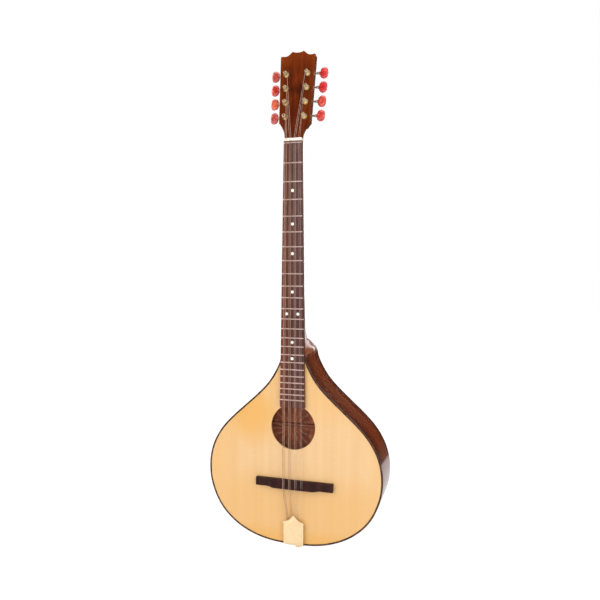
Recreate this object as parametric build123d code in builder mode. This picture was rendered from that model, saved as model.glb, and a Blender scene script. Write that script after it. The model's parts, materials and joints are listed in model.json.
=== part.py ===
# Flat-back bouzouki: a long-necked, fretted lute with four double courses.
# Frame: +Z runs up the neck, -Y is the playing face, +X is the treble side.
# The origin lies on the axis of the end pin, at the middle of its neck.
# All lengths are in millimetres. "side" is +1 for treble and -1 for bass.

from build123d import *
import os
from math import atan, cos, degrees, hypot, pi, radians, sin, tan
from typing import NamedTuple

os.makedirs("parts", exist_ok=True)

# ---- body ----
scale_length = 650.0
zero_fret_z = 766.0  # centre of the zero fret
face_y = -38.0  # playing face of the soundboard
body_depth = 90.0
body_top_z = 372.0  # where the ribs meet the heel
body_tail_z = 8.0  # lowest point of the rim
top_thick = 3.0
back_thick = 3.0
rib_thick = 2.5
binding_width = 3.5

# ---- neck and headstock ----
nut_half = 17.5  # half width of the neck at the nut
board_end_half = 24.3  # half width of the fingerboard at its lower end
board_end_z = 274.0
board_thick = 6.9
nut_low_z = 769.0
nut_high_z = 774.2
head_tilt = 10.0  # degrees that the headstock leans back
head_thick = 10.5  # wood only, without the headplate
plate_veneer = 2.0
head_root = Vector(0.0, face_y - 2.0, 774.0)  # front face of the headstock at the nut

# ---- tuners ----
tuner_rows = (42.0, 69.7, 97.4, 125.1)  # distance up the headstock
tuner_first_x = 18.4
tuner_splay = 1.5  # degrees between each row of posts and the centre line
post_r = 3.0
waist_r = 2.45
post_hole_high = 7.2  # string hole above the face of the headstock
bearing_gap = 0.05
teeth = 14
gear_module = 0.7
gear_thick = 2.8
worm_pitch_r = 2.3
shaft_r = 1.6
shaft_depth = 16.9  # worm axis behind the front face of the headstock
tuner_plate_thick = 1.2

# ---- derived ----
back_y = face_y + body_depth
inner_front = face_y + top_thick
inner_back = back_y - back_thick
board_face = face_y - board_thick
worm_pitch = pi * gear_module
gear_pitch_r = teeth * gear_module / 2
centre_distance = gear_pitch_r + worm_pitch_r
gear_near = shaft_depth - gear_thick / 2  # gear faces, behind the face of the head
gear_far = shaft_depth + gear_thick / 2
head_back = plate_veneer + head_thick
tilt_cos, tilt_sin = cos(radians(head_tilt)), sin(radians(head_tilt))
splay_cos, splay_sin = cos(radians(tuner_splay)), sin(radians(tuner_splay))
normal = Vector(0, -tilt_cos, tilt_sin)  # out of the face of the headstock
uphead = Vector(0, tilt_sin, tilt_cos)  # up the headstock

seat_low = (Align.CENTER, Align.CENTER, Align.MIN)  # stands on its lower end


def save(builder, name):
    """Label a finished piece and write its STEP file."""
    builder.part.label = name
    export_step(builder.part, f"parts/{name}.step")


def xz(y, x=0):
    """Plane facing the player at depth y, with local x = X and local y = Z."""
    return Plane(origin=(x, y, 0), x_dir=(1, 0, 0), z_dir=(0, -1, 0))


def level(x, y, z):
    """Plane across the neck axis, with local x = X and local y = Y."""
    return Plane(origin=(x, y, z), x_dir=(1, 0, 0), z_dir=(0, 0, 1))


def cross_edges(edges, y, z):
    """The edges along X whose middles lie at y and z."""
    return [
        e for e in edges.filter_by(Axis.X)
        if abs(e.center().Y - y) < 0.01 and abs(e.center().Z - z) < 0.01
    ]


def board_half(z):
    """Half width of neck and fingerboard at height z."""
    t = (zero_fret_z - z) / (zero_fret_z - board_end_z)
    return nut_half + (board_end_half - nut_half) * t


# ============================ body outline ============================

# Half width, height; from the heel round to the tail.
outline_points = [
    (24.0, body_top_z), (25.7, 362.0), (34.3, 342.4), (46.4, 322.6), (62.1, 304.4),
    (82.0, 285.5), (103.2, 266.5), (123.9, 247.4), (141.8, 228.2), (154.9, 209.0),
    (163.9, 190.2), (169.2, 171.7), (171.6, 153.0), (171.4, 135.2), (168.9, 117.0),
    (163.7, 99.6), (156.2, 82.2), (145.6, 65.3), (130.6, 48.9), (110.2, 33.4),
    (80.8, 19.3), (45.0, 10.4), (0.0, body_tail_z),
]
outline_ends = dict(tangents=[(0.05, -1), (-1, 0)], tangent_scalars=(1, 1))
outline_edge = Spline(*outline_points, **outline_ends)
outline_steps = 44


def inset_points(inset):
    """Points of the half outline moved inwards, the last one on the centre line."""
    pts = []
    for i in range(outline_steps + 1):
        point = outline_edge @ (i / outline_steps)
        tangent = outline_edge % (i / outline_steps)
        pts.append((point.X + tangent.Y * inset, point.Y - tangent.X * inset))
    pts[-1] = (0.0, pts[-1][1])
    return pts


def distinct(*pts):
    """The points in order, without any that repeats the one before it."""
    out = [pts[0]]
    for p in pts[1:]:
        if hypot(p[0] - out[-1][0], p[1] - out[-1][1]) > 1e-4:
            out.append(p)
    return out


def half_ring(outer_inset, inner_inset):
    """Closed half band between two insets of the outline, for x > 0."""
    outer = inset_points(outer_inset)
    inner = inset_points(inner_inset)
    with BuildLine() as line:
        Spline(*outer, **outline_ends)
        Spline(*inner, **outline_ends)
        Line(outer[-1], inner[-1])
        top = (outer[0][0], body_top_z), (inner[0][0], body_top_z)
        Polyline(*distinct(outer[0], *top, inner[0]))
    return line.edges()


def half_region(inset):
    """Closed half line inside the inset outline, for x > 0."""
    pts = inset_points(inset)
    with BuildLine() as line:
        Spline(*pts, **outline_ends)
        Polyline(pts[-1], (0, body_top_z), (pts[0][0], body_top_z), pts[0])
    return line.edges()


def region_face(inset):
    """Whole face inside the inset outline."""
    with BuildSketch() as sketch:
        make_face(half_region(inset))
        mirror(about=Plane.YZ)
    return sketch.sketch


# ============================ soundbox ============================

hole_z = 235.0
hole_r = 43.4
lining_width = 5.5
lining_height = 12.0
brace_end_gap = 0.5  # between lining and brace ends
pin_hole_r = 3.52
pilot_r = 1.27
tail_screws = ((-9.0, face_y + 13.0), (9.0, face_y + 13.0), (0.0, face_y + 21.0))  # X, Y

head_block_low = 318.0
head_block_wide = 120
head_block_z = (head_block_low + body_top_z) / 2
tail_block_half = 30.0
tail_block_high = 28.0
rod_y = face_y + 7.5  # axis of the truss rod
tenon_wide = 18
tenon_low_y, tenon_high_y = face_y + 14.0, face_y + 60.0
tenon_low_z = 350.0
tenon_y = (tenon_low_y + tenon_high_y) / 2
tenon_deep = tenon_high_y - tenon_low_y

region_board = region_face(binding_width)
region_inner = region_face(rib_thick)
region_lining = region_face(rib_thick + lining_width + brace_end_gap)

with BuildPart() as soundboard:
    with BuildSketch(xz(face_y)):
        add(region_board)
        with Locations((0, hole_z)):
            Circle(hole_r, mode=Mode.SUBTRACT)
    extrude(amount=-top_thick)
save(soundboard, "soundboard")

with BuildPart() as back_plate:
    with BuildSketch(xz(inner_back)):
        add(region_board)
    extrude(amount=-back_thick)
save(back_plate, "back_plate")

# ribs: bent sides, one for each half, pierced for the end pin and tail screws
with BuildPart() as rib_treble:
    with BuildSketch(xz(inner_front)):
        make_face(half_ring(0, rib_thick))
    extrude(amount=-(body_depth - top_thick - back_thick))
    with Locations((0, 0, body_tail_z)):
        Cylinder(pin_hole_r, 20, mode=Mode.SUBTRACT)
    for x, y in tail_screws:
        with Locations((x, y, body_tail_z)):
            Cylinder(pilot_r, 20, mode=Mode.SUBTRACT)
save(rib_treble, "rib_treble")

with BuildPart() as rib_bass:
    mirror(rib_treble.part, about=Plane.YZ)
save(rib_bass, "rib_bass")

# bindings: strips let into the front and back corners
with BuildPart() as bindings:
    for y in (face_y, inner_back):
        with BuildSketch(xz(y)):
            make_face(half_ring(0, binding_width))
            mirror(about=Plane.YZ)
        extrude(amount=-top_thick)
save(bindings, "bindings")

# head block, with a mortise for the neck tenon and a bore for the truss rod
with BuildPart() as head_block:
    with BuildSketch(xz(inner_front)):
        add(region_inner)
        with Locations((0, head_block_z)):
            Rectangle(head_block_wide, body_top_z - head_block_low, mode=Mode.INTERSECT)
    extrude(amount=-(inner_back - inner_front))
    with Locations((0, tenon_y, (tenon_low_z + body_top_z) / 2)):
        Box(tenon_wide, tenon_deep, body_top_z - tenon_low_z, mode=Mode.SUBTRACT)
    with Locations((0, rod_y, head_block_z)):
        Cylinder(3.3, 80, mode=Mode.SUBTRACT)
save(head_block, "head_block")

with BuildPart() as tail_block:
    with BuildSketch(xz(inner_front)):
        add(region_inner)
        with Locations((0, tail_block_high / 2)):
            Rectangle(2 * tail_block_half, tail_block_high, mode=Mode.INTERSECT)
    extrude(amount=-(inner_back - inner_front))
    with Locations((0, 0, 15)):
        Cylinder(pin_hole_r, 60, mode=Mode.SUBTRACT)
    for x, y in tail_screws:
        with Locations((x, y, 12)):
            Cylinder(pilot_r, 22, mode=Mode.SUBTRACT)
save(tail_block, "tail_block")

# linings: gluing strips in the corners, cut away half a millimetre clear of the blocks
with BuildPart() as linings:
    for y in (inner_front, inner_back - lining_height):
        with BuildSketch(xz(y)):
            make_face(half_ring(rib_thick, rib_thick + lining_width))
            mirror(about=Plane.YZ)
            with Locations((0, head_block_z)):
                Rectangle(160, body_top_z - head_block_low + 1, mode=Mode.SUBTRACT)
            with Locations((0, 10)):
                Rectangle(2 * tail_block_half + 1, 40, mode=Mode.SUBTRACT)
        extrude(amount=-lining_height)
save(linings, "linings")

# ---- braces ----
brace_tall = 11.0
brace_uncut = 400  # longer than the box is wide, before trimming to the linings
front_brace_wide = 9
upper_brace_z, lower_brace_z = 298.0, 181.0
hole_brace_x, hole_brace_z, hole_brace_long = 58, 236, 80
tone_bar_x, tone_bar_z, tone_bar_turn = 34, 110, 6  # turn in degrees
tone_bar_wide, tone_bar_long = 8, 118
back_brace_z = (304.0, 217.5, 120.0)
back_brace_wide = 6.0
centre_strip_wide, centre_strip_thick = 15, 2.0
centre_strips = ((221.0, 300.5), (123.5, 214.0), (29.0, 116.5))  # lower and upper ends

# under the soundboard: two across, two tone bars, and a pair beside the hole
with BuildPart() as soundboard_braces:
    with BuildSketch(xz(inner_front)):
        with Locations((0, upper_brace_z)):
            Rectangle(200, front_brace_wide)
        with Locations((0, lower_brace_z)):
            Rectangle(brace_uncut, front_brace_wide)
        add(region_lining, mode=Mode.INTERSECT)
        with Locations((-hole_brace_x, hole_brace_z), (hole_brace_x, hole_brace_z)):
            Rectangle(front_brace_wide, hole_brace_long)
        with Locations(
            Location((-tone_bar_x, tone_bar_z), tone_bar_turn),
            Location((tone_bar_x, tone_bar_z), -tone_bar_turn),
        ):
            Rectangle(tone_bar_wide, tone_bar_long)
    extrude(amount=-brace_tall)
    # passage for the truss rod nut
    with Locations((0, rod_y, upper_brace_z)):
        Cylinder(4.6, 30, mode=Mode.SUBTRACT)
save(soundboard_braces, "soundboard_braces")

# on the back: three across, with centre strips over the joint between them
with BuildPart() as back_braces:
    with BuildSketch(xz(inner_back - brace_tall)):
        for z in back_brace_z:
            with Locations((0, z)):
                Rectangle(brace_uncut, back_brace_wide)
        add(region_lining, mode=Mode.INTERSECT)
    extrude(amount=-brace_tall)
    with BuildSketch(xz(inner_back - centre_strip_thick)):
        for z_low, z_high in centre_strips:
            with Locations((0, (z_low + z_high) / 2)):
                Rectangle(centre_strip_wide, z_high - z_low)
    extrude(amount=-centre_strip_thick)
save(back_braces, "back_braces")

# ============================ neck ============================

# Sections of the neck shaft and heel: height, half width, depth, roundness.
# Each is half of a superellipse below a flat gluing face.
neck_sections = [
    (body_top_z, 24.0, 125.0, 6.0), (381.0, 23.9, 118.5, 3.2), (390.5, 23.5, 109.0, 2.45),
    (396.5, 23.2, 97.0, 2.2), (400.0, 23.1, 85.0, 2.1), (403.2, 22.95, 68.0, 2.0),
    (407.6, 22.8, 49.0, 2.0), (414.2, 22.55, 35.0, 2.0), (425.5, 22.3, 26.0, 2.0),
    (444.0, 22.0, 21.5, 2.0), (475.0, 21.5, 19.2, 2.05), (560.0, 20.35, 18.0, 2.1),
    (650.0, 19.1, 16.9, 2.1), (720.0, 18.14, 15.9, 2.1), (750.0, 17.75, 15.4, 2.1),
]
# Sections behind the head: distance up it, half width, depth, roundness.
head_sections = [
    (8.0, 18.0, 12.3, 3.2), (14.6, 19.6, 11.1, 4.5), (20.8, 22.5, 10.5, 7.0),
    (26.0, 25.6, 10.35, 11.0),
]
section_steps = 12
section_lip = 1.5  # spare stock in front of the gluing face, cut off later


def neck_section(half, depth, roundness):
    """Closed line of one section; local y runs towards the back."""
    pts = []
    for i in range(section_steps + 1):
        t = pi * i / section_steps
        across, back = cos(t), sin(t)
        x = (abs(across) ** (2 / roundness)) * half * (1 if across >= 0 else -1)
        pts.append((x, (abs(back) ** (2 / roundness)) * depth))
    pts[0], pts[-1] = (half, 0.0), (-half, 0.0)
    with BuildLine() as line:
        Spline(*pts)
        Polyline(pts[-1], (-half, -section_lip), (half, -section_lip), pts[0])
    return line.edges()


# Treble half of the headstock outline in its own plane: x across, y up from the nut.
head_neck_half = 17.45  # half width of the headstock at the nut
head_low = 0.6
head_corner = (33.8, 161.0)
corner_end = (32.0, 162.3)
head_tip = (0, 167.6)
tip_curve = [head_tip, (5.6, 168.2), (10.7, 170.3)]
horn_curve = [(10.7, 170.3), (15.2, 166.4), (20.0, 162.7), (25.5, 161.6)]
shoulder = [
    (29.9, 31.5), (26.3, 26.8), (22.6, 20.8), (19.7, 14.6), (18.1, 8.0),
    (head_neck_half, head_low),
]


def head_outline():
    with BuildSketch() as sketch:
        with BuildLine():
            Line(head_corner, shoulder[0])
            Spline(*shoulder, tangents=[(-0.6, -0.8), (-0.06, -1)], tangent_scalars=(1, 1))
            Polyline(shoulder[-1], (0, head_low), head_tip)
            Spline(*tip_curve, tangents=[(1, 0), (0.8, 0.6)], tangent_scalars=(1, 1))
            Spline(*horn_curve, tangents=[(0.75, -0.66), (1, 0)], tangent_scalars=(1, 1))
            Line(horn_curve[-1], corner_end)
            Line(corner_end, head_corner)
        make_face()
        mirror(about=Plane.YZ)
    return sketch.sketch


head_front = Plane(origin=head_root, x_dir=(1, 0, 0), z_dir=normal)
wood_front = head_front.offset(-plate_veneer)

# Every tuner: name, side, distance up the head. Number 1 is nearest the head's end.
tuners = [
    (f"{word}_{i + 1}", side, tuner_rows[3 - i])
    for side, word in ((-1, "bass"), (1, "treble"))
    for i in range(4)
]
row_middle = (tuner_rows[0] + tuner_rows[3]) / 2


def tuner_x(rise):
    """Distance of a post from the centre line, at this distance up the head."""
    return tuner_first_x + (rise - tuner_rows[0]) * tan(radians(tuner_splay))


def tuner_frame(side, rise):
    """Plane on the face of the headstock at a post: x outwards, z out of the face."""
    origin = head_root + Vector(side * tuner_x(rise), 0, 0) + uphead * rise
    outwards = Vector(side * splay_cos, 0, 0) - uphead * splay_sin
    return Plane(origin=origin, x_dir=outwards, z_dir=normal)


def shaft_frame(side, rise):
    """Plane across the worm shaft: z outwards along it, x out of the head's face."""
    frame = tuner_frame(side, rise)
    origin = frame.origin + frame.y_dir * (side * centre_distance) - frame.z_dir * shaft_depth
    return Plane(origin=origin, x_dir=frame.z_dir, z_dir=frame.x_dir)


def row_frame(side):
    """Plane on the back of the headstock for one row of four tuners."""
    frame = tuner_frame(side, row_middle)
    origin = frame.origin - frame.z_dir * head_back
    return Plane(origin=origin, x_dir=frame.x_dir, z_dir=frame.z_dir)


def row_spot(side, y, behind=0.0):
    """Plane at a place along a row, this far behind the back of the headstock."""
    frame = row_frame(side)
    origin = frame.from_local_coords((0, side * y, -behind))
    return Plane(origin=origin, x_dir=frame.x_dir, z_dir=frame.z_dir)


# places along a row, from its middle
row_y = [(rise - row_middle) / splay_cos for rise in tuner_rows]
plate_screw_y = [row_y[0] - 9.5] + [y - 8.2 for y in row_y[1:]] + [row_y[3] + 15.0]

slab_low = 22  # the flat part of the head starts this far up it
tenon_root = 4  # length of the tenon that runs up into the heel
rod_bore_r, rod_bore_low, rod_bore_high = 3.02, 364, 744
bushing_hole_r = 4.27

with BuildPart() as neck_blank:
    for z, half, depth, roundness in neck_sections:
        with BuildSketch(level(0, face_y, z)):
            make_face(neck_section(half, depth, roundness))
    # leaning section between the shaft and the head
    with BuildSketch(Plane(origin=(0, face_y, 771.0), x_dir=(1, 0, 0), z_dir=(0, 0.09, 1))):
        make_face(neck_section(head_neck_half, 15.3, 2.6))
    for rise, half, depth, roundness in head_sections:
        spot = head_root + uphead * rise - normal * plate_veneer
        with BuildSketch(Plane(origin=spot, x_dir=(1, 0, 0), z_dir=uphead)):
            make_face(neck_section(half, depth, roundness))
    loft()


def cut_plane(origin, facing):
    """Splitting plane; the stock on the side it faces is kept."""
    return Plane(origin=origin, x_dir=(1, 0, 0), z_dir=facing)


with BuildPart() as neck:
    add(neck_blank.part)
    # flat gluing faces for the fingerboard, the heel cap and the headplate
    split(bisect_by=cut_plane((0, face_y, 0), (0, 1, 0)), keep=Keep.TOP)
    split(bisect_by=cut_plane((0, inner_back, 0), (0, -1, 0)), keep=Keep.TOP)
    split(bisect_by=cut_plane(wood_front.origin, -wood_front.z_dir), keep=Keep.TOP)
    # the head itself
    with BuildSketch(wood_front.offset(-head_thick)):
        add(head_outline())
        with Locations((0, slab_low + 100)):
            Rectangle(120, 200, mode=Mode.INTERSECT)
    extrude(amount=head_thick)
    # tenon into the head block
    with Locations((0, tenon_y, (tenon_low_z + body_top_z + tenon_root) / 2)):
        Box(tenon_wide, tenon_deep, body_top_z + tenon_root - tenon_low_z)
    # truss rod bore
    with Locations((0, rod_y, (rod_bore_low + rod_bore_high) / 2)):
        Cylinder(rod_bore_r, rod_bore_high - rod_bore_low, mode=Mode.SUBTRACT)
    # post holes, stepped for the bushings
    for name, side, rise in tuners:
        frame = tuner_frame(side, rise)
        with Locations(frame.offset(-plate_veneer - 2.0).location):
            Cylinder(bushing_hole_r, 8.2, mode=Mode.SUBTRACT)
        with Locations(frame.offset(-10).location):
            Cylinder(3.4, 30, mode=Mode.SUBTRACT)
    # pilot holes for the tuner plates
    for side in (-1, 1):
        for y in plate_screw_y:
            with Locations(row_spot(side, y).location):
                Cylinder(1.02, 14.4, mode=Mode.SUBTRACT)
save(neck, "neck")

# heel cap: the end of the heel, level with the back plate
with BuildPart() as heel_cap:
    add(neck_blank.part)
    split(bisect_by=cut_plane((0, inner_back, 0), (0, 1, 0)), keep=Keep.TOP)
    split(bisect_by=cut_plane((0, back_y, 0), (0, -1, 0)), keep=Keep.TOP)
save(heel_cap, "heel_cap")

with BuildPart() as headplate:
    with BuildSketch(head_front):
        add(head_outline())
    extrude(amount=-plate_veneer)
    for name, side, rise in tuners:
        with Locations(tuner_frame(side, rise).location):
            Cylinder(bushing_hole_r, 10, mode=Mode.SUBTRACT)
save(headplate, "headplate")

# ---- fingerboard, frets and dots ----
fret_high = 1.2
fret_wide = 2.2
tang_wide = 0.6
tang_deep = 1.8
slot_deep = tang_deep + 0.1
slot_over = 1.0  # the slot cutter stands this far proud of the board
fret_count = 23
# equal temperament, the zero fret included
fret_z = [zero_fret_z - scale_length * (1 - 2 ** (-n / 12)) for n in range(fret_count + 1)]

dot_frets = (3, 5, 7, 10, 15, 17)  # single dots; the twelfth fret has a pair
dot_pair_x = 10.9
side_pair_z = 3.0
dot_r = 2.9
side_dot_r = 1.1
dot_thick = 1.2
side_dot_y = board_face + 3.4


def between(n):
    """Height midway between fret n and the one before it."""
    return (fret_z[n] + fret_z[n - 1]) / 2


octave_z = between(12)
dot_places = [(0.0, between(n)) for n in dot_frets]
dot_places += [(-dot_pair_x, octave_z), (dot_pair_x, octave_z)]
side_places = [between(n) for n in dot_frets] + [octave_z - side_pair_z, octave_z + side_pair_z]


def face_dots(sunk):
    """Places of the dots in the playing face, set in by this much."""
    return [Location((x, board_face + sunk, z), (90, 0, 0)) for x, z in dot_places]


def side_dots(sunk):
    """Places of the dots in the bass edge, set in by this much."""
    return [Location((sunk - board_half(z), side_dot_y, z), (0, 90, 0)) for z in side_places]


with BuildPart() as fingerboard:
    with BuildSketch(xz(face_y)):
        with BuildLine():
            Polyline(
                (-board_end_half, board_end_z), (board_end_half, board_end_z),
                (board_half(nut_low_z), nut_low_z), (-board_half(nut_low_z), nut_low_z),
                close=True,
            )
        make_face()
    extrude(amount=board_thick)
    front_edges = fingerboard.edges().group_by(Axis.Y)[0]
    chamfer(front_edges.filter_by(lambda e: e.length > 100), 0.5)
    for z in fret_z:
        with Locations((0, board_face + (slot_deep - slot_over) / 2, z)):
            Box(80, slot_deep + slot_over, tang_wide, mode=Mode.SUBTRACT)
    with Locations(*face_dots(0)):
        Cylinder(dot_r, 2 * dot_thick, mode=Mode.SUBTRACT)
    with Locations(*side_dots(0)):
        Cylinder(side_dot_r, 2 * dot_thick, mode=Mode.SUBTRACT)
save(fingerboard, "fingerboard")

with BuildPart() as frets:
    for z in fret_z:
        half = board_half(z) - 0.15
        with BuildSketch(Plane(origin=(-half, board_face, z), x_dir=(0, -1, 0), z_dir=(1, 0, 0))):
            with BuildLine():
                Line((0, -fret_wide / 2), (0, fret_wide / 2))
                ThreePointArc((0, fret_wide / 2), (fret_high, 0), (0, -fret_wide / 2))
            make_face()
            with Locations((-tang_deep / 2, 0)):
                Rectangle(tang_deep, tang_wide)
        extrude(amount=2 * half)
save(frets, "frets")

with BuildPart() as position_dots:
    with Locations(*face_dots(dot_thick / 2)):
        Cylinder(dot_r, dot_thick)
    with Locations(*side_dots(dot_thick / 2)):
        Cylinder(side_dot_r, dot_thick)
save(position_dots, "position_dots")

# ---- truss rod along the neck, with its nut inside the soundbox ----
rod_low, rod_high = 318, 740
rod_tip_low = 307  # end of the thinner tip that carries the nut
rod_tip_r = 2.0
rod_nut_low = 303.5
rod_nut_long = 10.5
socket_deep = 3.2
rod_nut_bore = rod_nut_long - socket_deep + 0.1  # runs just past the upper end

with BuildPart() as truss_rod:
    with Locations((0, rod_y, (rod_low + rod_high) / 2)):
        Cylinder(3.0, rod_high - rod_low)
    with Locations((0, rod_y, (rod_tip_low + rod_low) / 2)):
        Cylinder(rod_tip_r, rod_low - rod_tip_low)
save(truss_rod, "truss_rod")

with BuildPart() as truss_rod_nut:
    with BuildSketch(level(0, rod_y, rod_nut_low)):
        RegularPolygon(4.0, 6)
    extrude(amount=rod_nut_long)
    with BuildSketch(level(0, rod_y, rod_nut_low)):
        RegularPolygon(2.3, 6)
    extrude(amount=socket_deep, mode=Mode.SUBTRACT)
    with Locations((0, rod_y, rod_nut_low + socket_deep + rod_nut_bore / 2)):
        Cylinder(rod_tip_r + bearing_gap, rod_nut_bore, mode=Mode.SUBTRACT)
save(truss_rod_nut, "truss_rod_nut")

# ============================ strings and what carries them ============================

bridge_half = 76.0
bridge_low_z = 119.6
bridge_high_z = 134.5
bridge_end_high = 8.5
bridge_mid_high = 16.1
string_seat_high = 15.3

string_radii = (0.53, 0.43, 0.22, 0.14)  # bass course to treble course
course_nut = 8.5  # spacing of the courses at nut, bridge and tail
course_bridge = 11.9
course_tail = 7.5
pair_gap = 2.8
string_offset = 3.6  # the strings reach bridge and tail this far to the treble side

seat_nut_y = board_face - fret_high  # top of the zero fret
seat_bridge_y = face_y - string_seat_high
tail_hook_z = 50.0
slot_cut = 6.0  # height of the cutter for string slots


class String(NamedTuple):
    nut_x: float
    bridge_x: float
    tail_x: float
    radius: float
    side: int
    rise: float  # distance of its post up the head


# Strings in order from bass to treble; the outermost go to the lowest posts.
strings = []
for i, rise in enumerate(tuner_rows + tuner_rows[::-1]):
    course = i // 2
    in_pair = (-1, 1)[i % 2] * pair_gap / 2
    strings.append(String(
        nut_x=(course - 1.5) * course_nut + in_pair,
        bridge_x=string_offset + (course - 1.5) * course_bridge + in_pair,
        tail_x=string_offset + (course - 1.5) * course_tail + in_pair,
        radius=string_radii[course],
        side=-1 if course < 2 else 1,
        rise=rise,
    ))


def string_path(s):
    """Points of a string from its post, over nut, zero fret and bridge, to its hook."""
    post_x = s.side * (tuner_x(s.rise) - waist_r - s.radius - 0.08)
    over_fret_y = seat_nut_y - s.radius - 0.02
    return (
        head_root + Vector(post_x, 0, 0) + uphead * (s.rise - 0.5) + normal * post_hole_high,
        Vector(s.nut_x, over_fret_y, nut_high_z + 0.6),
        Vector(s.nut_x, over_fret_y, zero_fret_z),
        Vector(s.bridge_x, seat_bridge_y - s.radius, bridge_low_z - 0.3),
        Vector(s.tail_x, face_y - 4.3, tail_hook_z + 1.6),
    )


for name, picked in (("wound_strings", strings[:4]), ("plain_strings", strings[4:])):
    with BuildPart() as string_set:
        for s in picked:
            pts = string_path(s)
            with BuildLine() as run:
                Polyline(*pts)
            with BuildSketch(Plane(origin=pts[0], z_dir=(pts[1] - pts[0]).normalized())):
                Circle(s.radius)
            sweep(path=run.line, transition=Transition.RIGHT)
    save(string_set, name)

nut_top_y = board_face - 3.2
nut_z = (nut_low_z + nut_high_z) / 2

with BuildPart() as nut:
    with Locations((0, (nut_top_y + face_y) / 2, nut_z)):
        Box(2 * nut_half - 0.2, face_y - nut_top_y, nut_high_z - nut_low_z)
    fillet(nut.edges().filter_by(Axis.X).group_by(Axis.Y)[0], 1.2)
    for s in strings:
        with Locations((s.nut_x, seat_nut_y - slot_cut / 2 + 0.12, nut_z)):
            Box(2 * s.radius + 0.12, slot_cut, 20, mode=Mode.SUBTRACT)
save(nut, "nut")

# floating bridge: low feet at the ends, raised middle, crest at the tail edge
foot_inner = 53  # where the rise from the foot starts, from the bridge's middle
crest_half = 36
arch_half = 30
arch_high = 1.6
foot_chamfer = 1.0
slope_y = face_y - bridge_end_high  # lower end of the slope

with BuildPart() as bridge:
    with BuildSketch(level(string_offset, face_y, bridge_low_z)):
        with BuildLine():
            Polyline(
                (0, 0), (bridge_half, 0), (bridge_half, -bridge_end_high + foot_chamfer),
                (bridge_half - foot_chamfer, -bridge_end_high), (foot_inner, -bridge_end_high),
            )
            Spline(
                (foot_inner, -bridge_end_high), (44.5, -12.3), (crest_half, -bridge_mid_high),
                tangents=[(-1, 0), (-1, 0)], tangent_scalars=(1, 1),
            )
            Polyline((crest_half, -bridge_mid_high), (0, -bridge_mid_high), (0, 0))
        make_face()
        mirror(about=Plane.YZ)
    extrude(amount=bridge_high_z - bridge_low_z)
    # slope on the neck side of the raised middle
    with BuildSketch(Plane.YZ):
        with BuildLine():
            Polyline(
                (face_y - 20, bridge_low_z + 3.6), (face_y - bridge_mid_high, bridge_low_z + 3.6),
                (slope_y, bridge_high_z - 2.0), (slope_y + 2.5, bridge_high_z),
                (slope_y + 2.5, bridge_high_z + 5), (face_y - 20, bridge_high_z + 5),
                close=True,
            )
        make_face()
    extrude(amount=100, both=True, mode=Mode.SUBTRACT)
    # shallow arch between the feet
    with BuildSketch(level(string_offset, face_y, bridge_low_z - 1)):
        with BuildLine():
            Line((-arch_half, 0), (arch_half, 0))
            ThreePointArc((arch_half, 0), (0, -arch_high), (-arch_half, 0))
        make_face()
    extrude(amount=20, mode=Mode.SUBTRACT)
    # string slots, turned to follow the strings
    for s in strings:
        slope = (s.nut_x - s.bridge_x) / (zero_fret_z - bridge_low_z)
        slot_y = seat_bridge_y + 0.1 - slot_cut / 2
        spot = (s.bridge_x + slope * 5, slot_y, bridge_low_z + 3)
        with Locations(Location(spot, (0, degrees(atan(slope)), 0))):
            Box(2 * s.radius + 0.16, slot_cut, 20, mode=Mode.SUBTRACT)
save(bridge, "bridge")

# tailpiece base: bent strip with eight string hooks, screwed to the rim
strap_front = face_y - 1.6
strap_back = face_y + 28.0
strap_thick = 1.2
strap_wide = 32
strap_low = 6.7
strap_high = 52.5

with BuildPart() as tailpiece_base:
    with BuildSketch(Plane.YZ.offset(string_offset - strap_wide / 2)):
        with BuildLine():
            Polyline(
                (strap_front, strap_high), (strap_front + strap_thick, strap_high),
                (strap_front + strap_thick, strap_low + strap_thick),
                (strap_back, strap_low + strap_thick), (strap_back, strap_low),
                (strap_front, strap_low), close=True,
            )
        make_face()
    extrude(amount=strap_wide)
    fillet(cross_edges(tailpiece_base.edges(), strap_front, strap_low), 1.8)
    # hooks
    with BuildSketch(xz(strap_front + 0.4)):
        for s in strings:
            with Locations((s.tail_x, tail_hook_z)):
                Circle(0.95)
    extrude(amount=5.4)
    for x, y in tail_screws:
        with Locations((x, y, strap_low + strap_thick / 2)):
            Cylinder(1.3, 4, mode=Mode.SUBTRACT)
save(tailpiece_base, "tailpiece_base")

# tailpiece cover: pointed shell over the tailpiece base
cover_front = face_y - 8.2
cover_back = face_y - 3.0
cover_low = 9.5
cover_half = 19.5
cover_wall = 1.1
cover_bend = 4.4  # radius at the tail end
cover_neck_z = 46.6  # above here the cover has no sides behind its front wall
cover_inner = cover_front + cover_wall
# Half width, height; from the point down to the corner.
cover_outline = [(0, 67.4), (4.6, 62.8), (8.8, 58.8), (13.4, 56.2), (17.6, 54.9), (20.6, 53.4)]
cover_corner = (21.0, 51.4)
cover_waist = [cover_corner, (19.0, 49.6), (cover_half, cover_neck_z)]
cover_panel = [
    (0, 62.5), (7.4, 55.0), (16.2, 48.5), (16.2, 15.0),
    (-16.2, 15.0), (-16.2, 48.5), (-7.4, 55.0),
]

with BuildSketch() as cover_face:
    with BuildLine():
        Spline(*cover_outline, tangents=[(0.72, -0.7), (0.85, -0.5)], tangent_scalars=(1, 1))
        Line(cover_outline[-1], cover_corner)
        Spline(*cover_waist, tangents=[(-1, -0.2), (0.3, -1)], tangent_scalars=(1, 1))
        Polyline(cover_waist[-1], (cover_half, cover_low), (0, cover_low), cover_outline[0])
    make_face()
    mirror(about=Plane.YZ)

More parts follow.
